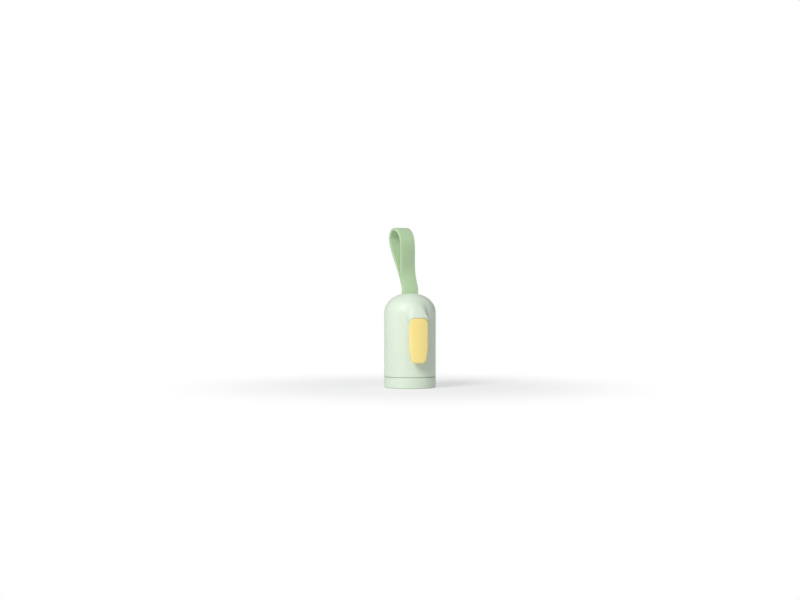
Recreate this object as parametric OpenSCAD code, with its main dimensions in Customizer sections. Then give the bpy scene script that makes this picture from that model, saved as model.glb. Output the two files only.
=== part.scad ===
// Dog waste bag dispenser. A capsule case holds one roll of bags, which stands on a
// push-in base cap. A soft strap loops out of the dome, a springy clip stands off the
// front, and the bags leave by a lined slot at the back.
// Millimetres, +Z up, front at -Y, origin at the centre of the flat base.

/* [Roll] */
// Diameter of a full roll of bags
roll_d = 31; // [27:0.5:32]
// Length of the wound film
roll_l = 59.5; // [52:0.5:64]
// Outside diameter of the cardboard core
core_d = 14; // [12:0.5:18]
// Wall of the cardboard core
core_wall = 1; // [0.8:0.1:1.4]
// Core that stands out of the film at each end
core_end = 0.5; // [0.3:0.1:1]

/* [Case] */
// Room between a full roll and the inside of the case
roll_play = 3.5; // [3.1:0.1:5]
// Wall thickness of the case
wall = 2; // [1.6:0.1:2.4]
// Height from the top of the core to the top of the dome
head_room = 14.2; // [13.4:0.1:20]
// Height of the domed top
dome_h = 16.5; // [14:0.5:18]
// Squareness of the dome, where 2 is an ellipse
dome_power = 2.1; // [2:0.1:2.6]
// Lead-in chamfer inside the mouth of the case
mouth_chamfer = 0.5; // [0.3:0.1:0.8]

/* [Base cap] */
// Height of the seam above the base
cap_h = 9.2; // [7:0.1:12]
// Thickness of the cap's floor
cap_floor = 2; // [1.6:0.1:3]
// Rounding of the cap's lower edge
cap_edge = 1.2; // [0.6:0.1:2]
// Length of the spigot above the seam
spigot_h = 6; // [4.5:0.1:8]
// Wall of the spigot
spigot_wall = 2.1; // [1.9:0.1:2.4]
// Height of the boss that centres the roll
boss_h = 5; // [3:0.5:8]
// Wall of the boss
boss_wall = 1.4; // [1:0.1:2]
// Thickness of the seal ring
seal_t = 1.4; // [1.2:0.1:1.6]

/* [Clip] */
// Width of the clip
clip_w = 15.5; // [13:0.1:18]
// Length of the clip
clip_l = 36.2; // [32:0.1:40]
// Thickness of the clip at its middle
clip_t = 2.5; // [2.2:0.1:3.2]
// Gap between the clip and the case, where the neck of a bag goes
clip_gap = 4.4; // [4.2:0.1:6]
// Height from the top of the clip to the top of the dome
clip_drop = 19.9; // [18:0.1:23]
// Length of clip that is fixed to the case
clip_root_l = 8.4; // [7.5:0.1:10]
// Radius of the clip's two upper corners
clip_corner = 5; // [3:0.1:6]
// Width of the clip at its free end
clip_toe_w = 11.4; // [9:0.1:12.5]
// Length over which the clip narrows to its free end
clip_toe_l = 13; // [8:0.5:16]
// Radius of the clip's two lower corners
clip_toe_r = 4; // [1.5:0.1:4.4]
// Radius of the clip's crowned outer face
clip_crown_r = 27; // [24:1:80]
// Height of the hood above the clip
hood_rise = 12; // [10:0.1:13]
// Width of the pedestal behind the clip's root
pedestal_w = 14.4; // [12.5:0.1:14.8]
// Width of the rail's head on the clip's root
rail_head_w = 8; // [7:0.1:9]
// Width of the rail's neck
rail_neck_w = 4.6; // [4:0.1:5.4]
// Thickness of the rail's head
rail_head_t = 1.5; // [1.2:0.1:1.7]
// Thickness of the wall that holds the rail's head in the pedestal
rail_lip_t = 1.5; // [1.2:0.1:1.7]
// Length of the rail
rail_l = 6.6; // [5:0.1:7]

/* [Strap] */
// Width of the strap
strap_w = 12.8; // [11:0.1:14]
// Thickness of the strap
strap_t = 2.3; // [1.9:0.1:2.5]
// Gap between the two strands at the foot of the loop
strand_gap = 0.2; // [0.1:0.1:0.4]
// Height of the loop above the dome
loop_h = 53; // [45:0.5:65]
// Depth of the loop, outside to outside
loop_depth = 21; // [17:0.1:26]
// Height of the flex line above the dome
flex_h = 4; // [3.5:0.1:6]
// Sideways lean of the loop's top
lean_x = -7.5; // [-9:0.1:4]
// Backward lean of the loop's top
lean_y = 2; // [-1:0.1:4]
// Twist of the loop about the upright axis, in degrees
twist = 12; // [0:1:16]
// Diameter of the strap's end bead
bead_d = 5; // [4.6:0.1:5.2]
// Diameter of the pin through the bead
pin_d = 2.4; // [2:0.1:2.6]
// Depth of the pin below the top of the dome
pin_drop = 7; // [6.6:0.1:7.4]
// Wall of the boss at each end of the pin
saddle_t = 2.4; // [2:0.1:3]
// Wall of the boss in front of and behind the bead
boss_side_t = 1.6; // [1.2:0.1:2]

/* [Bag slot] */
// Width of the opening that bags come out of
slot_w = 5.2; // [4.8:0.1:6]
// Height of the opening
slot_h = 26; // [20:0.5:32]
// Height of the middle of the slot above the base
slot_z = 36; // [32:0.5:42]
// Width of the liner's frame round the opening
liner_rim = 2.4; // [2.2:0.1:3]
// Width of the liner's neck in the wall
liner_neck = 1.3; // [1:0.1:1.6]
// Thickness of the liner's lips
liner_lip_t = 0.6; // [0.4:0.1:0.8]

/* [Fits] */
// Gap of the seam between the case and the base cap
seam_gap = 0.3; // [0.2:0.1:0.5]
// Radial play of the spigot in the case
slide_gap = 0.25; // [0.2:0.05:0.3]
// Play of the roll on the cap's floor and boss
rest_gap = 0.3; // [0.2:0.05:0.5]
// Play round pieces that stay fixed
snug_gap = 0.1; // [0.05:0.01:0.15]
// Radial play of the pin and of the seal
close_gap = 0.05; // [0.03:0.01:0.08]
// Play of the strap in the top of the dome
strap_gap = 0.3; // [0.2:0.05:0.4]
// Gap at the clip's flex line
clip_flex_gap = 0.3; // [0.25:0.05:0.4]

/* [Hidden] */
round_fn = 64;
eps = 0.01;
cut = 1;

// Case and roll
roll_r = roll_d / 2;
core_r = core_d / 2;
bore_r = roll_r + roll_play;
body_r = bore_r + wall;
core_z = cap_floor + rest_gap;
film_z = core_z + core_end;
core_top = film_z + roll_l + core_end;
body_h = core_top + head_room;
dome_z = body_h - dome_h;
dome_steps = 22;

// Base cap
skirt_top = cap_h - seam_gap;
spigot_top = cap_h + spigot_h;
spigot_r = bore_r - slide_gap;
seal_z = cap_h + spigot_h / 2;
seal_r = bore_r - close_gap - seal_t / 2;
groove_r = seal_r - seal_t / 2 - close_gap;
groove_h = seal_t + 2 * snug_gap;
boss_r = core_r - core_wall - rest_gap;
edge_steps = 6;

// Clip
clip_in = body_r + clip_gap;
clip_out = clip_in + clip_t;
clip_top = body_h - clip_drop;
clip_end = clip_top - clip_l;
clip_split = clip_top - clip_root_l;
hood_top = clip_top + hood_rise;
hood_tip_r = 2;
corner_steps = 12;
edge_drop = clip_crown_r - sqrt(clip_crown_r * clip_crown_r - clip_w * clip_w / 4);
hood_mid = 0.45;
hood_mid_out = 0.7;
hood_mid_w = 0.62;

// Strap
flex_z = body_h + flex_h;
loop_top = body_h + loop_h;
stack_t = 2 * strap_t + strand_gap;
knuckle_r = stack_t / 2 + close_gap;
seat_r = knuckle_r + snug_gap;
seat_angle = 30;
stub_top = flex_z - seat_r * cos(seat_angle);
half_low = (strap_t + strand_gap) / 2;
half_high = (loop_depth - strap_t) / 2;
arch_z = loop_top - strap_t / 2 - half_high;
spread_start = 2;
spread_z = flex_z + spread_start;
spread_power = 1.2;
lean_bow = 0.45;
twist_h = 19;
strand_steps = 14;
arch_steps = 16;
band_chamfer = 0.6;
knuckle_inset = 0.3;
pin_z = body_h - pin_drop;
bead_r = bead_d / 2;
pin_r = pin_d / 2;
slot_x = strap_w / 2 + strap_gap;
slot_y = stack_t / 2 + strap_gap;
boss_x = slot_x + saddle_t;
pin_l = 2 * boss_x - saddle_t;
boss_y = bead_r + strap_gap + boss_side_t;
boss_low = pin_z - bead_r - strap_gap;

// Bag slot
window_w = slot_w + 2 * liner_neck;
window_h = slot_h + 2 * liner_neck;

function dome_radius(z, r, z0, h) =
    z <= z0 ? r : r * pow(max(0, 1 - pow((z - z0) / h, dome_power)), 1 / dome_power);

// Profile of a domed solid from a flat end at z_low up to its top
function domed(r, z_low, z0, h) = concat(
    [[0, z_low], [r, z_low]],
    [for (i = [0 : dome_steps - 1])
        let (a = 90 * i / dome_steps)
        [r * pow(cos(a), 2 / dome_power), z0 + h * pow(sin(a), 2 / dome_power)]],
    [[0, z0 + h]]
);

function arc_points(centre, r, from, to) = [for (i = [0 : corner_steps])
    let (a = from + (to - from) * i / corner_steps) centre + r * [cos(a), sin(a)]];

function smooth(t) = let (s = min(1, max(0, t))) s * s * (3 - 2 * s);

// Where the strap's middle plane is, and which way it faces, at a height
function strap_rise(z) = max(0, (z - flex_z) / (loop_top - flex_z));
function strap_lean(z) = strap_rise(z) * (1 + lean_bow * (1 - strap_rise(z)));
function strap_angle(z) = twist * smooth((z - flex_z) / twist_h);
function strand_half(z) =
    let (t = max(0, (z - spread_z) / (arch_z - spread_z)))
    half_low + (half_high - half_low) * smooth(pow(t, spread_power));

// The loop's route as [depth, height]: up the front strand, over, and down the rear one
strand_up = [for (i = [0 : strand_steps - 1])
    let (z = flex_z + (arch_z - flex_z) * i / strand_steps) [strand_half(z), z]];
strand_down = [for (i = [1 : strand_steps])
    let (p = strand_up[strand_steps - i]) [-p[0], p[1]]];
arch = [for (i = [0 : arch_steps])
    let (a = 180 * i / arch_steps) [half_high * cos(a), arch_z + half_high * sin(a)]];
route = concat(strand_up, arch, strand_down);
rings = len(route);

// Outline of the band's section as [across, out]
band = let (x = strap_w / 2, y = strap_t / 2, c = band_chamfer) [
    [x - c, -y], [x, c - y], [x, y - c], [x - c, y],
    [c - x, y], [-x, y - c], [-x, c - y], [c - x, -y],
];
sides = len(band);

// Direction in which the band's outer face looks, as [depth, height]
function out_dir(i) =
    let (d = i == 0 || i == rings - 1 ? [0, i == 0 ? 1 : -1]
            : route[i + 1] - route[i - 1])
    [d[1], -d[0]] / norm(d);

function band_point(i, k) =
    let (
        p = route[i],
        n = out_dir(i),
        a = strap_angle(p[1]),
        depth = p[0] + n[0] * band[k][1],
        across = band[k][0]
    ) [
        lean_x * strap_lean(p[1]) + depth * sin(a) + across * cos(a),
        lean_y * strap_lean(p[1]) - depth * cos(a) + across * sin(a),
        p[1] + n[1] * band[k][1],
    ];

band_points = [for (i = [0 : rings - 1], k = [0 : sides - 1]) band_point(i, k)];
band_sides = [for (i = [0 : rings - 2], k = [0 : sides - 1], half = [0, 1])
    let (a = i * sides + k, b = i * sides + (k + 1) % sides)
    half == 0 ? [a, b, a + sides] : [b, b + sides, a + sides]];
band_ends = [for (k = [1 : sides - 2], end = [0, 1])
    let (o = (rings - 1) * sides)
    end == 0 ? [0, k + 1, k] : [o, o + k, o + k + 1]];

// A box given by its low and high corners
module block(low, high) {
    translate(low) cube(high - low);
}

// A slot-shaped bar along Y, with round ends above and below
module pill(w, h, y_low, y_high) {
    for (side = [-1, 1])
        translate([0, y_high, slot_z + side * (h - w) / 2])
            rotate([90, 0, 0]) cylinder(r = w / 2, h = y_high - y_low, $fn = round_fn);
    block([-w / 2, y_low, slot_z - (h - w) / 2], [w / 2, y_high, slot_z + (h - w) / 2]);
}

module tube(r_in, r_out, z_low, z_high) {
    translate([0, 0, z_low]) difference() {
        cylinder(r = r_out, h = z_high - z_low, $fn = round_fn);
        translate([0, 0, -cut]) cylinder(r = r_in, h = z_high - z_low + 2 * cut, $fn = round_fn);
    }
}

module case_outside() {
    rotate_extrude($fn = round_fn) polygon(domed(body_r, cap_h, dome_z, dome_h));
}

module case_inside() {
    rotate_extrude($fn = round_fn)
        polygon(domed(bore_r, cap_h - cut, dome_z, dome_h - wall));
    translate([0, 0, cap_h - eps]) cylinder(
        r1 = bore_r + mouth_chamfer, r2 = bore_r, h = mouth_chamfer, $fn = round_fn);
}

// The ramp that carries the dome's surface out to the clip's face
module hood() {
    tip = dome_radius(hood_top, body_r, dome_z, dome_h) - hood_tip_r;
    out = clip_out - body_r;
    mid_half = hood_mid_w * clip_w / 2;
    mid_z = clip_top + hood_mid * hood_rise;
    low = clip_top - clip_corner;
    hull() {
        block([-clip_w / 2, edge_drop - clip_out, low], [clip_w / 2, 0, clip_top]);
        block([-clip_w / 4, -clip_out, low], [clip_w / 4, 0, clip_top]);
        block([-mid_half, -body_r - out * hood_mid_out, mid_z], [mid_half, 0, mid_z + eps]);
        translate([0, -tip, hood_top - hood_tip_r]) sphere(r = hood_tip_r, $fn = 32);
    }
}

module pedestal() {
    block([-pedestal_w / 2, -clip_in, clip_split], [pedestal_w / 2, 0, clip_top]);
}

// The rail on the clip's root. Its slot is the same shape, grown by the play.
module rail(play) {
    low = clip_split - (play > 0 ? cut : 0);
    high = clip_split + rail_l + play;
    block([-rail_neck_w / 2 - play, -clip_in - eps - play, low],
        [rail_neck_w / 2 + play, rail_lip_t + rail_head_t / 2 - clip_in, high]);
    block([-rail_head_w / 2 - play, rail_lip_t - clip_in - play, low],
        [rail_head_w / 2 + play, rail_lip_t + rail_head_t - clip_in + play, high]);
}

module strap_boss() {
    intersection() {
        block([-boss_x, -boss_y, boss_low], [boss_x, boss_y, body_h]);
        case_outside();
    }
}

// The slot in the dome, with room below it for the bead and saddles for the pin
module strap_pocket() {
    bead_half = bead_r + strap_gap;
    pin_half = pin_r + close_gap;
    block([-slot_x, -slot_y, boss_low - cut], [slot_x, slot_y, body_h + cut]);
    block([-slot_x, -bead_half, boss_low - cut], [slot_x, bead_half, pin_z + bead_half]);
    translate([-pin_l / 2 - close_gap, 0, pin_z]) rotate([0, 90, 0])
        cylinder(r = pin_half, h = pin_l + 2 * close_gap, $fn = round_fn);
    block([-pin_l / 2 - close_gap, -pin_half, boss_low - cut],
        [pin_l / 2 + close_gap, pin_half, pin_z]);
}

module shell() {
    color([0.90, 0.94, 0.89]) difference() {
        union() {
            difference() {
                union() {
                    case_outside();
                    hood();
                    pedestal();
                }
                case_inside();
            }
            strap_boss();
        }
        strap_pocket();
        rail(snug_gap);
        clip_outline(snug_gap);
        pill(window_w, window_h, 0, body_r + cut);
    }
}

module base_cap() {
    color([0.88, 0.92, 0.87]) rotate_extrude($fn = round_fn) polygon(concat(
        [[0, 0]],
        [for (i = [0 : edge_steps])
            let (a = 90 * i / edge_steps)
            [body_r - cap_edge * (1 - sin(a)), cap_edge * (1 - cos(a))]],
        [
            [body_r, skirt_top],
            [spigot_r, skirt_top],
            [spigot_r, seal_z - groove_h / 2],
            [groove_r, seal_z - groove_h / 2],
            [groove_r, seal_z + groove_h / 2],
            [spigot_r, seal_z + groove_h / 2],
            [spigot_r, spigot_top],
            [spigot_r - spigot_wall, spigot_top],
            [spigot_r - spigot_wall, cap_floor],
            [boss_r, cap_floor],
            [boss_r, cap_floor + boss_h],
            [boss_r - boss_wall, cap_floor + boss_h],
            [boss_r - boss_wall, cap_floor],
            [0, cap_floor],
        ]
    ));
}

module cap_seal() {
    color([0.30, 0.32, 0.31]) translate([0, 0, seal_z])
        rotate_extrude($fn = round_fn) translate([seal_r, 0]) circle(d = seal_t, $fn = 32);
}

// A soft frame: a neck in the wall, a lip on each side of it, and the bags' opening
module slot_liner() {
    lip_w = slot_w + 2 * liner_rim;
    lip_h = slot_h + 2 * liner_rim;
    seat = close_gap;
    color([0.66, 0.78, 0.60]) difference() {
        union() {
            intersection() {
                pill(window_w - 2 * snug_gap, window_h - 2 * snug_gap, 0, body_r + cut);
                tube(bore_r - seat - liner_lip_t / 2, body_r + seat + liner_lip_t / 2,
                    slot_z - slot_h, slot_z + slot_h);
            }
            for (r = [bore_r - seat - liner_lip_t, body_r + seat]) intersection() {
                pill(lip_w, lip_h, 0, body_r + cut);
                tube(r, r + liner_lip_t, slot_z - slot_h, slot_z + slot_h);
            }
        }
        pill(slot_w, slot_h, 0, body_r + 2 * cut);
    }
}

// The clip's outline seen from the front, grown by the play, as a thick plate
module clip_outline(play) {
    half = clip_w / 2 + play;
    corner = clip_corner + play;
    toe = clip_toe_w / 2 + play;
    toe_r = clip_toe_r + play;
    low = clip_end - play;
    shoulder = clip_end + clip_toe_l;
    slope = (half - toe) / (shoulder - low);
    angle = atan(slope);
    toe_x = toe + slope * toe_r - toe_r / cos(angle);
    right = concat(
        arc_points([toe_x, low + toe_r], toe_r, -90, -angle),
        [[half, shoulder]],
        arc_points([half - corner, clip_top - clip_corner], corner, 0, 90)
    );
    left = [for (i = [1 : len(right)]) let (p = right[len(right) - i]) [-p[0], p[1]]];
    translate([0, play - clip_in, 0]) rotate([90, 0, 0])
        linear_extrude(clip_t + cut) polygon(concat(right, left));
}

// The whole clip: a rounded plate with a crowned face and a flat back
module clip_plate() {
    intersection() {
        clip_outline(0);
        translate([0, clip_crown_r - clip_out, clip_end - cut])
            cylinder(r = clip_crown_r, h = clip_l + 2 * cut, $fn = 4 * round_fn);
    }
}

module hook_root() {
    color([0.98, 0.87, 0.57]) union() {
        intersection() {
            clip_plate();
            block([-clip_w, -clip_out - cut, clip_split], [clip_w, 0, clip_top + cut]);
        }
        rail(0);
    }
}

module hook_tongue() {
    color([0.98, 0.87, 0.57]) intersection() {
        clip_plate();
        block([-clip_w, -clip_out - cut, clip_end - cut],
            [clip_w, 0, clip_split - clip_flex_gap]);
    }
}

// The strap's lower end: a bead in the dome and a stub that rises to the flex line
module strap_anchor() {
    half_w = strap_w / 2;
    color([0.72, 0.82, 0.66]) difference() {
        union() {
            translate([-half_w, 0, pin_z]) rotate([0, 90, 0])
                cylinder(r = bead_r, h = strap_w, $fn = round_fn);
            block([-half_w, -stack_t / 2, pin_z], [half_w, stack_t / 2, stub_top]);
        }
        translate([-half_w - cut, 0, pin_z]) rotate([0, 90, 0])
            cylinder(r = pin_r + close_gap, h = strap_w + 2 * cut, $fn = round_fn);
        translate([-half_w - cut, 0, flex_z]) rotate([0, 90, 0])
            cylinder(r = seat_r, h = strap_w + 2 * cut, $fn = round_fn);
    }
}

module strap_loop() {
    knuckle_w = strap_w - 2 * knuckle_inset;
    color([0.72, 0.82, 0.66]) union() {
        polyhedron(points = band_points, faces = concat(band_sides, band_ends));
        translate([-knuckle_w / 2, 0, flex_z]) rotate([0, 90, 0])
            cylinder(r = knuckle_r, h = knuckle_w, $fn = round_fn);
    }
}

module strap_pin() {
    color([0.75, 0.76, 0.77]) translate([-pin_l / 2, 0, pin_z]) rotate([0, 90, 0])
        cylinder(r = pin_r, h = pin_l, $fn = round_fn);
}

module roll_core() {
    color([0.72, 0.60, 0.45]) tube(core_r - core_wall, core_r, core_z, core_top);
}

module bag_roll() {
    color([0.10, 0.36, 0.20]) tube(core_r + close_gap, roll_r, film_z, film_z + roll_l);
}

shell();
base_cap();
cap_seal();
slot_liner();
hook_root();
hook_tongue();
strap_anchor();
strap_loop();
strap_pin();
roll_core();
bag_roll();
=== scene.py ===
# Dog waste bag dispenser: looks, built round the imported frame. Sizes of pieces are in
# millimetres and are turned into metres where a mesh is made. The camera and the lamps
# are in metres.
import math

import bmesh
import bpy
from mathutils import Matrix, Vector


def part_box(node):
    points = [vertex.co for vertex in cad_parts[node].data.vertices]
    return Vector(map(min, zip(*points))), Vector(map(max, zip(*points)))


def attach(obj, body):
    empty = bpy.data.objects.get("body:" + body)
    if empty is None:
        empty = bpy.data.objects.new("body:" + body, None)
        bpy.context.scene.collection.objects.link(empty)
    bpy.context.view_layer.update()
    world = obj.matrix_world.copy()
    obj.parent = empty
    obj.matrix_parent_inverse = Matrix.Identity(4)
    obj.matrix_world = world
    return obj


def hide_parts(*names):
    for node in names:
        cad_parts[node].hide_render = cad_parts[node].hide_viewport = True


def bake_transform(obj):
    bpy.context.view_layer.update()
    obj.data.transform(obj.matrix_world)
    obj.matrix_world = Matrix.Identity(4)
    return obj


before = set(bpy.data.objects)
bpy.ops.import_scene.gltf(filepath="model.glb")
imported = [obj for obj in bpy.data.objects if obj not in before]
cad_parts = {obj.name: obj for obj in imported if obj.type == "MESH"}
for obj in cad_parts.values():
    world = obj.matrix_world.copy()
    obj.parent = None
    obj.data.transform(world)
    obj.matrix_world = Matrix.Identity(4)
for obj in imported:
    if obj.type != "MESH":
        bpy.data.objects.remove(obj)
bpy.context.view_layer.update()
scene = bpy.context.scene

MM = 0.001


def box_mm(node):
    """The lowest and highest corner of a CAD node, in millimetres."""
    low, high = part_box(node)
    return low / MM, high / MM


# ---------------------------------------------------------------- sizes from the frame
CAP_HIGH = box_mm("base_cap")[1]
SHELL_LOW, SHELL_HIGH = box_mm("shell")
ROOT_LOW, ROOT_HIGH = box_mm("hook_root")
TONGUE_LOW, TONGUE_HIGH = box_mm("hook_tongue")
ANCHOR_LOW, ANCHOR_HIGH = box_mm("strap_anchor")
FILM_LOW, FILM_HIGH = box_mm("bag_roll")
CORE_LOW, CORE_HIGH = box_mm("roll_core")
LINER_LOW, LINER_HIGH = box_mm("slot_liner")
SEAL_LOW, SEAL_HIGH = box_mm("cap_seal")

WALL = 2.0
BODY_R = CAP_HIGH.x
BORE_R = BODY_R - WALL
SEAM_Z = SHELL_LOW.z
BODY_H = SHELL_HIGH.z
DOME_H = 16.5
DOME_POWER = 2.1
DOME_Z = BODY_H - DOME_H

CLIP_W = TONGUE_HIGH.x - TONGUE_LOW.x
CLIP_T = 2.5
CLIP_OUT = -TONGUE_LOW.y
CLIP_IN = CLIP_OUT - CLIP_T
CLIP_TOP = ROOT_HIGH.z
CLIP_END = TONGUE_LOW.z
CLIP_SPLIT = ROOT_LOW.z
CLIP_CORNER = 5.0
TOE_W = 11.4
TOE_L = 13.0
TOE_R = 4.0
TOE_BEND_R = 22.0
CLIP_CROWN_R = 27.0

STRAP_W = ANCHOR_HIGH.x - ANCHOR_LOW.x
STRAP_T = 2.3
STRAND_GAP = 0.2
FLEX_Z = BODY_H + 4.0
LOOP_TOP = BODY_H + 53.0
LOOP_DEPTH = 21.0
LEAN_X = -7.5
LEAN_Y = 2.0
TWIST = math.radians(12)
TWIST_H = 19.0


# ---------------------------------------------------------------- mesh helpers
def smooth_step(t):
    t = min(1.0, max(0.0, t))
    return t * t * (3 - 2 * t)


def soft_max(a, b, k):
    """The larger of two lengths, with a fillet of about k where they cross."""
    h = max(k - abs(a - b), 0.0) / k
    return max(a, b) + h * h * k / 4


def steps(start, end, count):
    """Evenly spaced values from start up to, but not including, end."""
    return [start + (end - start) * i / count for i in range(count)]


def make_object(name, points, faces):
    mesh = bpy.data.meshes.new(name)
    mesh.from_pydata([Vector(p) * MM for p in points], [], faces)
    work = bmesh.new()
    work.from_mesh(mesh)
    bmesh.ops.remove_doubles(work, verts=work.verts, dist=1e-7)
    bmesh.ops.recalc_face_normals(work, faces=work.faces)
    work.to_mesh(mesh)
    work.free()
    obj = bpy.data.objects.new(name, mesh)
    scene.collection.objects.link(obj)
    return obj


def ring_faces(rows, cols, close_rows=False):
    """Quads between rings of points, each ring closed on itself."""
    faces = []
    last = rows if close_rows else rows - 1
    for i in range(last):
        j = (i + 1) % rows
        for k in range(cols):
            m = (k + 1) % cols
            faces.append((i * cols + k, i * cols + m, j * cols + m, j * cols + k))
    return faces


def lathe(name, profile, segments, wave=None):
    """A solid of revolution from a profile of (radius, height) that starts and ends on
    the axis or, when it does neither, closes on itself."""
    on_axis = profile[0][0] == 0
    angles = steps(0, 2 * math.pi, segments)
    points = []
    for r, z in profile:
        for a in angles:
            s = r if wave is None or r == 0 else r + wave(a, r, z)
            points.append((s * math.cos(a), s * math.sin(a), z))
    faces = ring_faces(len(profile), segments, close_rows=not on_axis)
    return make_object(name, points, faces)


def rounded_rectangle(half_w, half_h, radius, arc=6):
    points = []
    corners = ((1, -1, -90), (1, 1, 0), (-1, 1, 90), (-1, -1, 180))
    for sx, sy, start in corners:
        for i in range(arc + 1):
            a = math.radians(start + 90 * i / arc)
            points.append((
                sx * (half_w - radius) + radius * math.cos(a),
                sy * (half_h - radius) + radius * math.sin(a),
            ))
    return points


def pill_turns(width, height, arc):
    """The round ends of an upright slot, centred, as (height of their centre, angle)."""
    straight = (height - width) / 2
    turns = []
    for sign, start in ((1, 0), (-1, 180)):
        for i in range(arc + 1):
            turns.append((sign * straight, math.radians(start + 180 * i / arc)))
    return turns


def prism(name, rings):
    """A closed solid from a few rings of points of the same count, capped at both ends."""
    cols = len(rings[0])
    points = [p for ring in rings for p in ring]
    faces = ring_faces(len(rings), cols)
    last = (len(rings) - 1) * cols
    faces.append(tuple(range(cols)))
    faces.append(tuple(last + k for k in reversed(range(cols))))
    return make_object(name, points, faces)


def block(name, low, high):
    ring = [(low[0], low[1]), (high[0], low[1]), (high[0], high[1]), (low[0], high[1])]
    return prism(name, [[(x, y, z) for x, y in ring] for z in (low[2], high[2])])


def carve(obj, cutter, operation="DIFFERENCE"):
    """Joins a solid to obj, or cuts it out, and removes that solid."""
    step = obj.modifiers.new("carve", "BOOLEAN")
    step.operation = operation
    step.solver = "EXACT"
    step.object = cutter
    apply_modifiers(obj)
    bpy.data.objects.remove(cutter)


def apply_modifiers(obj):
    bpy.context.view_layer.update()
    evaluated = obj.evaluated_get(bpy.context.evaluated_depsgraph_get())
    mesh = bpy.data.meshes.new_from_object(evaluated)
    obj.modifiers.clear()
    old = obj.data
    obj.data = mesh
    bpy.data.meshes.remove(old)


def finish_surface(obj, material, sharp_angle=38):
    obj.data.materials.clear()
    obj.data.materials.append(material)
    obj.data.shade_smooth()
    obj.data.set_sharp_from_angle(angle=math.radians(sharp_angle))


def place(obj, body, slot, *nodes):
    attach(obj, body)
    if nodes:
        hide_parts(*nodes)


# ---------------------------------------------------------------- materials
NOISE_SPAN = (0.3, 0.7)


def new_material(name, color, roughness):
    material = bpy.data.materials.new(name)
    material.use_nodes = True
    nodes = material.node_tree.nodes
    shader = nodes["Principled BSDF"]
    shader.inputs["Base Color"].default_value = (*color, 1)
    shader.inputs["Roughness"].default_value = roughness
    return material, material.node_tree, shader


def add_noise(tree, scale, detail, stretch=(1, 1, 1)):
    """A noise over the object's own space; scale is in waves per metre."""
    nodes, links = tree.nodes, tree.links
    where = nodes.new("ShaderNodeTexCoord")
    mapping = nodes.new("ShaderNodeMapping")
    mapping.inputs["Scale"].default_value = stretch
    noise = nodes.new("ShaderNodeTexNoise")
    noise.inputs["Scale"].default_value = scale
    noise.inputs["Detail"].default_value = detail
    links.new(where.outputs["Object"], mapping.inputs["Vector"])
    links.new(mapping.outputs["Vector"], noise.inputs["Vector"])
    return noise.outputs["Fac"]


def vary_color(tree, shader, factor, low, high):
    """Runs the base colour from low to high over the middle of a noise's range."""
    ramp = tree.nodes.new("ShaderNodeValToRGB")
    for stop, position, color in zip(ramp.color_ramp.elements, NOISE_SPAN, (low, high)):
        stop.position = position
        stop.color = (*color, 1)
    tree.links.new(factor, ramp.inputs["Fac"])
    tree.links.new(ramp.outputs["Color"], shader.inputs["Base Color"])


def vary_roughness(tree, shader, factor, low, high):
    spread = tree.nodes.new("ShaderNodeMapRange")
    spread.inputs["To Min"].default_value = low
    spread.inputs["To Max"].default_value = high
    tree.links.new(factor, spread.inputs["Value"])
    tree.links.new(spread.outputs["Result"], shader.inputs["Roughness"])


def add_bump(tree, shader, factor, strength, distance_mm):
    bump = tree.nodes.new("ShaderNodeBump")
    bump.inputs["Strength"].default_value = strength
    bump.inputs["Distance"].default_value = distance_mm * MM
    tree.links.new(factor, bump.inputs["Height"])
    tree.links.new(bump.outputs["Normal"], shader.inputs["Normal"])


def scaled(color, k):
    return tuple(min(1.0, c * k) for c in color)


def moulded_plastic(name, color, roughness, coat=0.0):
    """Spark-eroded mould texture: fine pimples, faint cloudiness, uneven gloss."""
    material, tree, shader = new_material(name, color, roughness)
    cloud = add_noise(tree, scale=55, detail=3)
    fine = add_noise(tree, scale=2600, detail=2)
    vary_color(tree, shader, cloud, scaled(color, 0.975), scaled(color, 1.015))
    vary_roughness(tree, shader, cloud, roughness - 0.04, roughness + 0.06)
    add_bump(tree, shader, fine, strength=0.25, distance_mm=0.05)
    shader.inputs["Specular IOR Level"].default_value = 0.36
    shader.inputs["Subsurface Weight"].default_value = 0.06
    shader.inputs["Subsurface Radius"].default_value = (0.004, 0.004, 0.003)
    shader.inputs["Coat Weight"].default_value = coat
    shader.inputs["Coat Roughness"].default_value = 0.3
    return material


def silicone(name, color, roughness):
    """Soft matt rubber with a powdery sheen and fine specks."""
    material, tree, shader = new_material(name, color, roughness)
    cloud = add_noise(tree, scale=90, detail=4)
    speck = add_noise(tree, scale=1800, detail=2)
    vary_color(tree, shader, cloud, scaled(color, 0.95), scaled(color, 1.04))
    vary_roughness(tree, shader, speck, roughness - 0.06, roughness + 0.06)
    add_bump(tree, shader, speck, strength=0.2, distance_mm=0.06)
    shader.inputs["Sheen Weight"].default_value = 0.25
    shader.inputs["Sheen Roughness"].default_value = 0.5
    shader.inputs["Subsurface Weight"].default_value = 0.1
    shader.inputs["Subsurface Radius"].default_value = (0.002, 0.003, 0.002)
    return material


def film(name, color):
    """Thin bag film, wound: fine lines along the roll, creases and a soft gloss."""
    material, tree, shader = new_material(name, color, roughness=0.36)
    lines = add_noise(tree, scale=260, detail=3, stretch=(1, 1, 9))
    crease = add_noise(tree, scale=120, detail=5, stretch=(1, 1, 0.25))
    vary_color(tree, shader, lines, scaled(color, 0.7), scaled(color, 1.35))
    vary_roughness(tree, shader, lines, low=0.28, high=0.5)
    add_bump(tree, shader, crease, strength=0.5, distance_mm=0.35)
    return material


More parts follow.
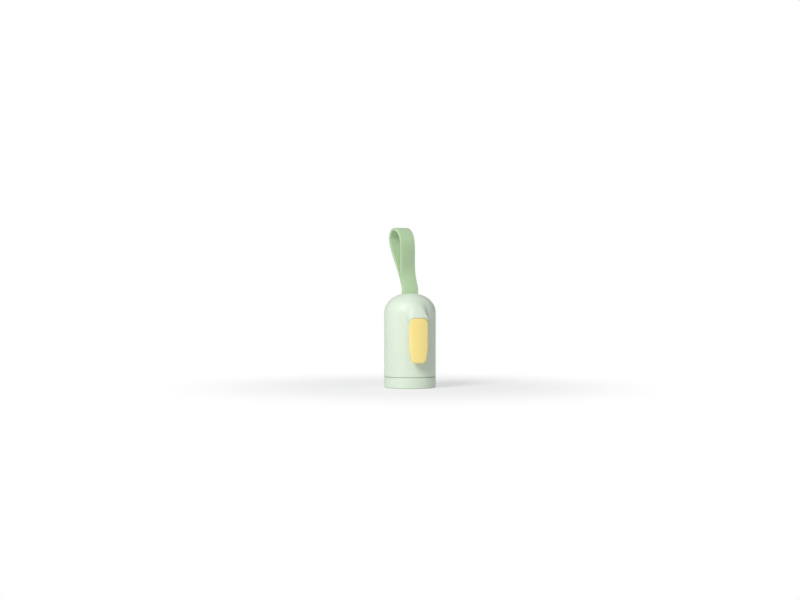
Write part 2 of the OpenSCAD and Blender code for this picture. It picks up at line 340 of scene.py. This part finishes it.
def cardboard(name, color):
    material, tree, shader = new_material(name, color, roughness=0.85)
    fibre = add_noise(tree, scale=900, detail=5, stretch=(1, 1, 0.3))
    vary_color(tree, shader, fibre, scaled(color, 0.8), scaled(color, 1.2))
    add_bump(tree, shader, fibre, strength=0.5, distance_mm=0.1)
    return material


def brushed_metal(name, color):
    material, tree, shader = new_material(name, color, roughness=0.32)
    shader.inputs["Metallic"].default_value = 1.0
    brush = add_noise(tree, scale=500, detail=3, stretch=(0.1, 6, 6))
    vary_color(tree, shader, brush, scaled(color, 0.9), scaled(color, 1.1))
    add_bump(tree, shader, brush, strength=0.2, distance_mm=0.03)
    return material


MINT = (0.712, 0.808, 0.672)
CAP_MINT = (0.707, 0.802, 0.668)
YELLOW = (1.0, 0.80, 0.290)
LEAF = (0.470, 0.650, 0.385)
SOFT_BLACK = (0.05, 0.06, 0.055)
STEEL = (0.62, 0.62, 0.63)
BOARD_BROWN = (0.46, 0.31, 0.17)
FILM_GREEN = (0.018, 0.13, 0.055)
mint_plastic = moulded_plastic("mint_plastic", MINT, roughness=0.44, coat=0.07)
cap_plastic = moulded_plastic("cap_plastic", CAP_MINT, roughness=0.46, coat=0.07)
clip_plastic = moulded_plastic("clip_plastic", YELLOW, roughness=0.42)
strap_rubber = silicone("strap_rubber", LEAF, roughness=0.5)
seal_rubber = silicone("seal_rubber", SOFT_BLACK, roughness=0.6)
pin_steel = brushed_metal("pin_steel", STEEL)
core_board = cardboard("core_board", BOARD_BROWN)
bag_film = film("bag_film", FILM_GREEN)


# ---------------------------------------------------------------- case
# The hood swells out of the case over the clip, and the pedestal behind the clip's top
# is its lower end. Angles are in radians from the front.
HOOD_TOP = CLIP_TOP + 13.5
HOOD_END = HOOD_TOP + 3
HOOD_FADE_H = 5
HOOD_FALL = 10.2
HOOD_FALL_POWER = 1.6
HOOD_CROWN_R = 18.0
HOOD_CROWN_RATE = 1.4
HOOD_CLOSE = 1.6
HOOD_SPREAD = 0.62
FLANK_START = 0.25
FLANK_END = 0.05
FLANK_PEDESTAL = 0.15
FLANK_HOOD = 0.38
FLANK_H = 9
UNDERSIDE_H = 0.7

# The case's mesh: fine columns over the hood, and fine rows from its underside up.
FINE_SPREAD = 0.65
FINE_COLUMNS = 200
PLAIN_COLUMNS = 120
MOUTH_ROUND = ((0.3, 0.0), (0.08, 0.08), (0.0, 0.35))
BORE_CHAMFER = 0.5

# The boss in the dome, with the strap's slot and the pin's pocket.
SLOT_ROOM = 0.3
SLOT_CORNER = 1.2
SLOT_FLARE = ((-1.1, 0.0), (-0.5, 0.18), (1, 1.5))
BOSS_WALL = 2.4
BOSS_HALF_Y = 4.4
BOSS_INSET = 1.8
PIN_DEPTH = 7
POCKET_HALF = 2.8
POCKET_INSET = 0.02
CUT_PAST = 1

# The openings for the liner and the clip.
LINER_OVERLAP = 2.2
WINDOW_ARC = 28
CLIP_ROOM = 0.12
CLIP_SEAT_ROOM = 0.08


def dome_radius(z, radius, z0, height):
    if z <= z0:
        return radius
    t = min(1.0, (z - z0) / height)
    return radius * (1 - t ** DOME_POWER) ** (1 / DOME_POWER)


def dome_rows(radius, z0, height, start_z, count):
    """Points (radius, height) from start_z up to the top of a dome, evenly turned."""
    first = math.asin(((start_z - z0) / height) ** (DOME_POWER / 2))
    rows = []
    for a in steps(first, math.pi / 2, count):
        rows.append((
            radius * math.cos(a) ** (2 / DOME_POWER),
            z0 + height * math.sin(a) ** (2 / DOME_POWER),
        ))
    rows.append((0.0, z0 + height))
    return rows


def hood_swell(angle, z, radius):
    """How far the hood and pedestal stand out of the case, in a direction from the front."""
    if abs(angle) > HOOD_SPREAD or z > HOOD_END or z < CLIP_SPLIT:
        return 0.0
    t = max(0.0, (z - CLIP_TOP) / (HOOD_TOP - CLIP_TOP))
    out = CLIP_OUT - HOOD_FALL * t ** HOOD_FALL_POWER
    crown = CLIP_CROWN_R + (HOOD_CROWN_R - CLIP_CROWN_R) * smooth_step(HOOD_CROWN_RATE * t)
    side = out * math.tan(angle)
    front = (out - side * side / (2 * crown)) / math.cos(angle)
    fade = smooth_step((HOOD_END - z) / HOOD_FADE_H)
    lift = soft_max(front - radius, 0.0, HOOD_CLOSE) * fade
    rise = min(1.0, t)
    start = FLANK_START * (1 - rise)
    spread = FLANK_PEDESTAL + FLANK_HOOD * rise
    flank = FLANK_END + spread * smooth_step((z - CLIP_SPLIT) / FLANK_H)
    across = 1 - smooth_step((abs(angle) - start) / flank)
    return lift * across * smooth_step((z - CLIP_SPLIT) / UNDERSIDE_H)


def case_skin():
    """The case's closed shell, from the dome's top down outside and up again inside."""
    columns = steps(-FINE_SPREAD, FINE_SPREAD, FINE_COLUMNS)
    columns += steps(FINE_SPREAD, 2 * math.pi - FINE_SPREAD, PLAIN_COLUMNS)
    below, under, over = CLIP_SPLIT - 1, CLIP_SPLIT + 1.2, HOOD_TOP + 1
    rows = [(BODY_R - inset, SEAM_Z + up) for inset, up in MOUTH_ROUND]
    rows += [(BODY_R, z) for z in steps(SEAM_Z + 2, below, count=12)]
    for z in steps(below, under, count=18) + steps(under, over, count=84):
        rows.append((dome_radius(z, BODY_R, DOME_Z, DOME_H), z))
    rows += dome_rows(BODY_R, DOME_Z, DOME_H, over, count=26)
    inner = [(BORE_R + BORE_CHAMFER, SEAM_Z), (BORE_R, SEAM_Z + BORE_CHAMFER)]
    inner += [(BORE_R, z) for z in steps(SEAM_Z + 3, DOME_Z, count=6)]
    inner += dome_rows(BORE_R, DOME_Z, DOME_H - WALL, DOME_Z, count=16)
    points = []
    for r, z in reversed(rows):
        for a in columns:
            s = r + hood_swell(a if a < math.pi else a - 2 * math.pi, z, r)
            points.append((s * math.sin(a), -s * math.cos(a), z))
    for r, z in inner:
        for a in columns:
            points.append((r * math.sin(a), -r * math.cos(a), z))
    faces = ring_faces(len(rows) + len(inner), len(columns))
    return make_object("case_shell", points, faces)


def arc_points(x, z, r, start, end, count):
    """Points along an arc, from one angle in degrees to another, ends included."""
    points = []
    for i in range(count + 1):
        a = math.radians(start + (end - start) * i / count)
        points.append((x + r * math.cos(a), z + r * math.sin(a)))
    return points


def clip_outline(grow=0.0):
    """The clip seen from the front, as (across, up), from the middle of its free end."""
    half = CLIP_W / 2 + grow
    corner = CLIP_CORNER + grow
    toe = TOE_W / 2 + grow
    toe_r = TOE_R + grow
    low = CLIP_END - grow
    shoulder = CLIP_END + TOE_L
    slope = (half - toe) / (shoulder - low)
    angle = math.degrees(math.atan(slope))
    lean = math.radians(angle)
    toe_x = toe + slope * toe_r - toe_r / math.cos(lean)
    bend = TOE_BEND_R * math.tan(lean / 2)
    high = CLIP_TOP - CLIP_CORNER
    right = [(x, low) for x in steps(0, toe_x, count=6)]
    right += arc_points(toe_x, low + toe_r, toe_r, -90, -angle, count=10)
    tip = right[-1]
    start = (half - bend * math.sin(lean), shoulder - bend * math.cos(lean))
    for t in steps(0, 1, count=6)[1:]:
        right.append((tip[0] + (start[0] - tip[0]) * t, tip[1] + (start[1] - tip[1]) * t))
    right += arc_points(half - TOE_BEND_R, shoulder + bend, TOE_BEND_R, -angle, 0, count=5)
    right += [(half, z) for z in steps(shoulder + bend, high, count=18)[1:]]
    right += arc_points(half - corner, high, corner, 0, 90, count=12)
    right += [(x, CLIP_TOP + grow) for x in steps(half - corner, 0, count=5)[1:]]
    left = [(-x, z) for x, z in reversed(right) if x > 0]
    return right + [(0.0, CLIP_TOP + grow)] + left


def make_case():
    shell = case_skin()
    slot_x, slot_y = STRAP_W / 2 + SLOT_ROOM, STRAP_T + STRAND_GAP / 2 + SLOT_ROOM
    boss_x, boss_y = slot_x + BOSS_WALL, BOSS_HALF_Y
    pin_z = BODY_H - PIN_DEPTH
    low = pin_z - POCKET_HALF
    top = BODY_H - BOSS_INSET
    carve(shell, block("boss", (-boss_x, -boss_y, low), (boss_x, boss_y, top)), "UNION")
    rim = [(low - CUT_PAST, 0.0)] + [(BODY_H + up, grow) for up, grow in SLOT_FLARE]
    carve(shell, prism("slot", [
        [(x, y, z) for x, y in rounded_rectangle(
            slot_x + grow, slot_y + grow, SLOT_CORNER + grow)]
        for z, grow in rim
    ]))
    pocket_x = slot_x - POCKET_INSET
    carve(shell, block(
        "pocket",
        (-pocket_x, -POCKET_HALF, low - CUT_PAST),
        (pocket_x, POCKET_HALF, pin_z + POCKET_HALF),
    ))
    window_w = LINER_HIGH.x * 2 - LINER_OVERLAP
    window_h = LINER_HIGH.z - LINER_LOW.z - LINER_OVERLAP
    window = [
        (window_w / 2 * math.cos(a), up + window_w / 2 * math.sin(a))
        for up, a in pill_turns(window_w, window_h, WINDOW_ARC)
    ]
    middle = (LINER_HIGH.z + LINER_LOW.z) / 2
    carve(shell, prism("window", [
        [(x, y, middle + z) for x, z in window] for y in (BODY_R + 2, BORE_R - 4)
    ]))
    recess = clip_outline(CLIP_ROOM)
    carve(shell, prism("recess", [
        [(x, y, z) for x, z in recess] for y in (-CLIP_IN - CLIP_SEAT_ROOM, -CLIP_OUT - 5)
    ]))
    finish_surface(shell, mint_plastic, 50)
    place(shell, "case", "mint_plastic", "shell")


def rounded_profile(points, arc=4):
    """Turns (radius, height, rounding) corners into a profile with round corners."""
    out = []
    count = len(points)
    for i, (r, z, rounding) in enumerate(points):
        if not rounding:
            out.append((r, z))
            continue
        here = Vector((r, z))
        before = (Vector(points[i - 1][:2]) - here).normalized()
        after = (Vector(points[(i + 1) % count][:2]) - here).normalized()
        for k in range(arc + 1):
            t = k / arc
            bend = before * rounding * (1 - t) ** 2 + after * rounding * t ** 2
            out.append(tuple(here + bend))
    return out


def make_base_cap():
    """A cup with a sunk foot, a grooved spigot and a hollow boss, as (radius, height,
    rounding) corners."""
    foot_r, foot_edge, foot_sunk = 14.0, 0.4, 0.25
    spigot_room, spigot_wall = 0.25, 2.1
    spigot_r, spigot_top = BORE_R - spigot_room, CAP_HIGH.z
    inner_r = spigot_r - spigot_wall
    rim_z = SEAM_Z - 0.3
    seal_z, seal_depth, groove = (SEAL_LOW.z + SEAL_HIGH.z) / 2, 1.45, 0.8
    groove_r = SEAL_HIGH.x - seal_depth
    boss_r, boss_wall, floor_z, boss_h = 5.7, 1.4, 2.0, 5.0
    corners = [
        (0, foot_sunk, 0), (foot_r, foot_sunk, 0.2), (foot_r + foot_edge, 0.0, 0.3),
        (BODY_R, 0.0, 1.25), (BODY_R, rim_z, 0.3), (spigot_r, rim_z, 0),
        (spigot_r, seal_z - groove, 0.1), (groove_r, seal_z - groove, 0),
        (groove_r, seal_z + groove, 0), (spigot_r, seal_z + groove, 0.1),
        (spigot_r, spigot_top, 0.5), (inner_r, spigot_top, 0.3),
        (inner_r, floor_z, 0.5), (boss_r, floor_z, 0.4),
        (boss_r, floor_z + boss_h, 0.4), (boss_r - boss_wall, floor_z + boss_h, 0.3),
        (boss_r - boss_wall, floor_z, 0.3), (0, floor_z, 0),
    ]
    cap = lathe("base_cap_moulding", rounded_profile(corners), segments=200)
    finish_surface(cap, cap_plastic)
    place(cap, "base", "mint_plastic", "base_cap")


def make_slot_liner():
    """A lip inside and outside the wall, swept round the slot and bent to the case."""
    lip, lip_t, neck, room = 2.4, 0.6, 1.2, 0.05
    out_r, in_r = BODY_R + room, BORE_R - room
    section = rounded_profile([
        (0.0, in_r - lip_t, 0.3), (0.0, out_r + lip_t, 0.3), (lip, out_r + lip_t, 0.35),
        (lip, out_r, 0.1), (neck, out_r, 0), (neck, in_r, 0), (lip, in_r, 0.1),
        (lip, in_r - lip_t, 0.25),
    ], arc=3)
    width = LINER_HIGH.x - LINER_LOW.x - 2 * lip
    height = LINER_HIGH.z - LINER_LOW.z - 2 * lip
    middle = (LINER_HIGH.z + LINER_LOW.z) / 2
    outline = pill_turns(width, height, arc=24)
    points = []
    for up, a in outline:
        for grow, radius in section:
            x = (width / 2 + grow) * math.cos(a)
            z = middle + up + (width / 2 + grow) * math.sin(a)
            points.append((x, math.sqrt(radius * radius - x * x), z))
    faces = ring_faces(len(outline), len(section), close_rows=True)
    liner = make_object("bag_slot_liner", points, faces)
    finish_surface(liner, strap_rubber)
    place(liner, "case", "strap_rubber", "slot_liner")


# ---------------------------------------------------------------- clip
FRONT_EDGE, FRONT_EDGE_ROWS = 0.9, 8
BACK_EDGE, BACK_EDGE_ROWS = 0.4, 6
FRONT_INSETS = (1.2, 2.0, 3.2, 4.6, 6.0)
BACK_INSETS = (5.0, 2.5, 1.0)


def make_clip():
    """A pill-shaped plate with a crowned face, a flat back and rounded edges."""
    outline = clip_outline()
    axis_low = CLIP_END + CLIP_W / 2
    axis_high = CLIP_TOP - CLIP_W / 2
    to_axis = CLIP_W

    def inward(point, distance):
        """A point of the outline moved towards the clip's middle line, at most onto it."""
        x, z = point
        target = Vector((0, min(axis_high, max(axis_low, z))))
        here = Vector((x, z))
        path = target - here
        return here + path * min(1.0, distance / path.length)

    def front_y(p):
        return -CLIP_OUT + p.x * p.x / (2 * CLIP_CROWN_R)

    back = [(inset, 0.0) for inset in (to_axis, *BACK_INSETS)]
    for i in range(BACK_EDGE_ROWS + 1):
        a = math.radians(90 * i / BACK_EDGE_ROWS)
        back.append((BACK_EDGE * (1 - math.sin(a)), BACK_EDGE * (1 - math.cos(a))))
    front = []
    for i in range(FRONT_EDGE_ROWS + 1):
        a = math.radians(90 * i / FRONT_EDGE_ROWS)
        front.append((FRONT_EDGE * (1 - math.cos(a)), FRONT_EDGE * (1 - math.sin(a))))
    front += [(inset, 0.0) for inset in (*FRONT_INSETS, to_axis)]
    points = []
    for inset, lift in back:
        for p in outline:
            q = inward(p, inset)
            points.append((q.x, -CLIP_IN - lift, q.y))
    for inset, drop in front:
        for p in outline:
            q = inward(p, inset)
            points.append((q.x, front_y(q) + drop, q.y))
    faces = ring_faces(len(back) + len(front), len(outline))
    clip = make_object("spring_clip", points, faces)
    finish_surface(clip, clip_plastic, 40)
    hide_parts("hook_root", "hook_tongue")
    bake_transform(clip)


# ---------------------------------------------------------------- strap
HALF_LOW = (STRAP_T + STRAND_GAP) / 2
HALF_HIGH = (LOOP_DEPTH - STRAP_T) / 2
ARCH_Z = LOOP_TOP - STRAP_T / 2 - HALF_HIGH
SPREAD_Z = FLEX_Z + 2
SPREAD_POWER = 1.2
LEAN_BOW = 0.45
STRAP_EDGE = 0.6
ARCH_ROWS = 40


def strap_point(depth, z, across):
    """A point of the strap, leant and twisted over the line where it flexes."""
    rise = max(0.0, (z - FLEX_Z) / (LOOP_TOP - FLEX_Z))
    lean = rise * (1 + LEAN_BOW - LEAN_BOW * rise)
    turn = TWIST * smooth_step((z - FLEX_Z) / TWIST_H)
    return Vector((
        LEAN_X * lean + depth * math.sin(turn) + across * math.cos(turn),
        LEAN_Y * lean - depth * math.cos(turn) + across * math.sin(turn),
        z,
    ))


def strap_route():
    """The band's middle line as (depth, height): up in front, over, and down behind."""
    up = []
    for z in steps(ANCHOR_LOW.z + 1, ARCH_Z, count=70):
        t = smooth_step(max(0, (z - SPREAD_Z) / (ARCH_Z - SPREAD_Z)) ** SPREAD_POWER)
        up.append((HALF_LOW + (HALF_HIGH - HALF_LOW) * t, z))
    arch = []
    for i in range(ARCH_ROWS + 1):
        a = math.pi * i / ARCH_ROWS
        arch.append((HALF_HIGH * math.cos(a), ARCH_Z + HALF_HIGH * math.sin(a)))
    return up + arch + [(-d, z) for d, z in reversed(up)]


def make_strap():
    route = strap_route()
    section = rounded_rectangle(STRAP_W / 2, STRAP_T / 2, STRAP_EDGE, arc=5)
    rings = []
    for i, (depth, z) in enumerate(route):
        before, after = route[max(0, i - 1)], route[min(len(route) - 1, i + 1)]
        along = Vector((after[0] - before[0], after[1] - before[1])).normalized()
        out = (along.y, -along.x)
        ring = []
        for across, thick in section:
            p = strap_point(depth + out[0] * thick, z, across)
            p.z = z + out[1] * thick
            ring.append(tuple(p))
        rings.append(ring)
    strap = prism("strap_band", rings)
    finish_surface(strap, strap_rubber, 60)
    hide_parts("strap_anchor", "strap_loop")
    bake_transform(strap)


# ---------------------------------------------------------------- roll
FILM_TURNS = 15
ROWS_PER_TURN = 4
LAYER_GROOVE = 0.12
FILM_STEP = 0.22
RIPPLES = ((0.05, 9, 0.35), (0.04, 23, -0.2))
RIPPLE_SUM = 0.09
CORE_WALL = 1.0


def make_roll():
    """Wound film, grooved between its turns at the ends, with a step where the film ends,
    and the tube that it is wound on."""
    core_r = CORE_HIGH.x + 0.05
    film_r = FILM_HIGH.x

    def wound(a, r, z):
        """How far the film's outside lies off its largest radius, which nothing passes."""
        if r < core_r + 1:
            return 0.0
        step = FILM_STEP * (a / (2 * math.pi))
        ripple = sum(size * math.sin(waves * a + z * pitch) for size, waves, pitch in RIPPLES)
        return step - FILM_STEP + ripple - RIPPLE_SUM

    def layers(z, inward):
        rows = []
        count = FILM_TURNS * ROWS_PER_TURN
        for i in range(count + 1):
            r = core_r + (film_r - core_r) * i / count
            groove = LAYER_GROOVE if i % ROWS_PER_TURN == ROWS_PER_TURN // 2 else 0.0
            rows.append((r, z + inward * groove))
        return rows

    profile = layers(FILM_LOW.z, 1)
    profile += [(film_r, z) for z in steps(FILM_LOW.z + 0.4, FILM_HIGH.z - 0.4, count=40)]
    profile += reversed(layers(FILM_HIGH.z, -1))
    roll = lathe("bag_film_roll", profile, 180, wound)
    finish_surface(roll, bag_film, 50)
    place(roll, "roll", "bag_film", "bag_roll")

    out_r, in_r = CORE_HIGH.x, CORE_HIGH.x - CORE_WALL
    corners = [
        (in_r, CORE_LOW.z, 0.2), (out_r, CORE_LOW.z, 0.2),
        (out_r, CORE_HIGH.z, 0.2), (in_r, CORE_HIGH.z, 0.2),
    ]
    core = lathe("core_tube", rounded_profile(corners), segments=96)
    finish_surface(core, core_board, 50)
    place(core, "roll", "cardboard", "roll_core")


def dress_cad_nodes():
    """The seal and the pin are shown as the frame has them, with materials of their own."""
    for node, material in (("cap_seal", seal_rubber), ("strap_pin", pin_steel)):
        finish_surface(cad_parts[node], material, 40)


# ---------------------------------------------------------------- camera, stage and light
CAMERA_AZIMUTH = math.radians(-15.4)
CAMERA_ELEVATION = math.radians(0.8)
CAMERA_DISTANCE = 1.3
FRAME_WIDTH = 0.651
SENSOR = 36.0
AIM = Vector((0.0, 0.0, 0.0712))
AXIS_OFFSET = 0.0081
LAMP_AIM = Vector((0, 0, 0.06))
FLOOR_HALF = 6.0


def add_camera():
    toward = Vector((
        math.sin(CAMERA_AZIMUTH) * math.cos(CAMERA_ELEVATION),
        -math.cos(CAMERA_AZIMUTH) * math.cos(CAMERA_ELEVATION),
        math.sin(CAMERA_ELEVATION),
    ))
    right = Vector((math.cos(CAMERA_AZIMUTH), math.sin(CAMERA_AZIMUTH), 0))
    data = bpy.data.cameras.new("camera")
    data.sensor_width = SENSOR
    data.lens = SENSOR * CAMERA_DISTANCE / FRAME_WIDTH
    camera = bpy.data.objects.new("camera", data)
    scene.collection.objects.link(camera)
    camera.location = AIM - right * AXIS_OFFSET + toward * CAMERA_DISTANCE
    camera.rotation_euler = (-toward).to_track_quat("-Z", "Y").to_euler()
    scene.camera = camera


def add_area(name, location, size, power):
    data = bpy.data.lights.new(name, "AREA")
    data.shape = "DISK"
    data.size = size
    data.energy = power
    light = bpy.data.objects.new(name, data)
    scene.collection.objects.link(light)
    light.location = location
    toward = LAMP_AIM - Vector(location)
    light.rotation_euler = toward.to_track_quat("-Z", "Y").to_euler()


def add_stage():
    """A pale floor that keeps the shadow near the object and is white farther off, to
    the camera and in gloss."""
    half = FLOOR_HALF / MM
    floor = make_object("floor", [
        (-half, -half, 0), (half, -half, 0), (half, half, 0), (-half, half, 0),
    ], [(0, 1, 2, 3)])
    material, tree, shader = new_material("floor_paper", (0.84, 0.84, 0.84), 0.9)
    shader.inputs["Specular IOR Level"].default_value = 0.0
    nodes, links = tree.nodes, tree.links
    glow = nodes.new("ShaderNodeEmission")
    glow.inputs["Color"].default_value = (1, 1, 1, 1)
    glow.inputs["Strength"].default_value = 1.0
    where = nodes.new("ShaderNodeTexCoord")
    far = nodes.new("ShaderNodeVectorMath")
    far.operation = "LENGTH"
    white = nodes.new("ShaderNodeMapRange")
    white.interpolation_type = "SMOOTHSTEP"
    white.inputs["From Min"].default_value = 0.05
    white.inputs["From Max"].default_value = 0.22
    white.inputs["To Min"].default_value = 0.55
    white.inputs["To Max"].default_value = 1.0
    path = nodes.new("ShaderNodeLightPath")
    seen = nodes.new("ShaderNodeMath")
    seen.operation = "MAXIMUM"
    share = nodes.new("ShaderNodeMath")
    share.operation = "MULTIPLY"
    mix = nodes.new("ShaderNodeMixShader")
    links.new(where.outputs["Object"], far.inputs[0])
    links.new(far.outputs["Value"], white.inputs["Value"])
    links.new(path.outputs["Is Camera Ray"], seen.inputs[0])
    links.new(path.outputs["Is Glossy Ray"], seen.inputs[1])
    links.new(seen.outputs[0], share.inputs[0])
    links.new(white.outputs["Result"], share.inputs[1])
    links.new(share.outputs[0], mix.inputs["Fac"])
    links.new(shader.outputs["BSDF"], mix.inputs[1])
    links.new(glow.outputs["Emission"], mix.inputs[2])
    links.new(mix.outputs["Shader"], nodes["Material Output"].inputs["Surface"])
    floor.data.materials.append(material)


def add_world():
    world = bpy.data.worlds.new("studio")
    scene.world = world
    world.use_nodes = True
    nodes, links = world.node_tree.nodes, world.node_tree.links
    fill = nodes["Background"]
    fill.inputs["Color"].default_value = (0.95, 0.97, 1.0, 1)
    fill.inputs["Strength"].default_value = 0.34
    white = nodes.new("ShaderNodeBackground")
    white.inputs["Color"].default_value = (1, 1, 1, 1)
    white.inputs["Strength"].default_value = 1.0
    path = nodes.new("ShaderNodeLightPath")
    mix = nodes.new("ShaderNodeMixShader")
    links.new(path.outputs["Is Camera Ray"], mix.inputs["Fac"])
    links.new(fill.outputs["Background"], mix.inputs[1])
    links.new(white.outputs["Background"], mix.inputs[2])
    links.new(mix.outputs["Shader"], nodes["World Output"].inputs["Surface"])


add_camera()
add_stage()
add_world()
add_area("key", (-0.67, -0.62, 0.76), size=0.5, power=9.7)
add_area("fill", (0.7, -0.7, 0.3), size=0.8, power=0.6)
scene.view_settings.view_transform = "Standard"

make_case()
make_base_cap()
make_slot_liner()
make_clip()
make_strap()
make_roll()
dress_cad_nodes()
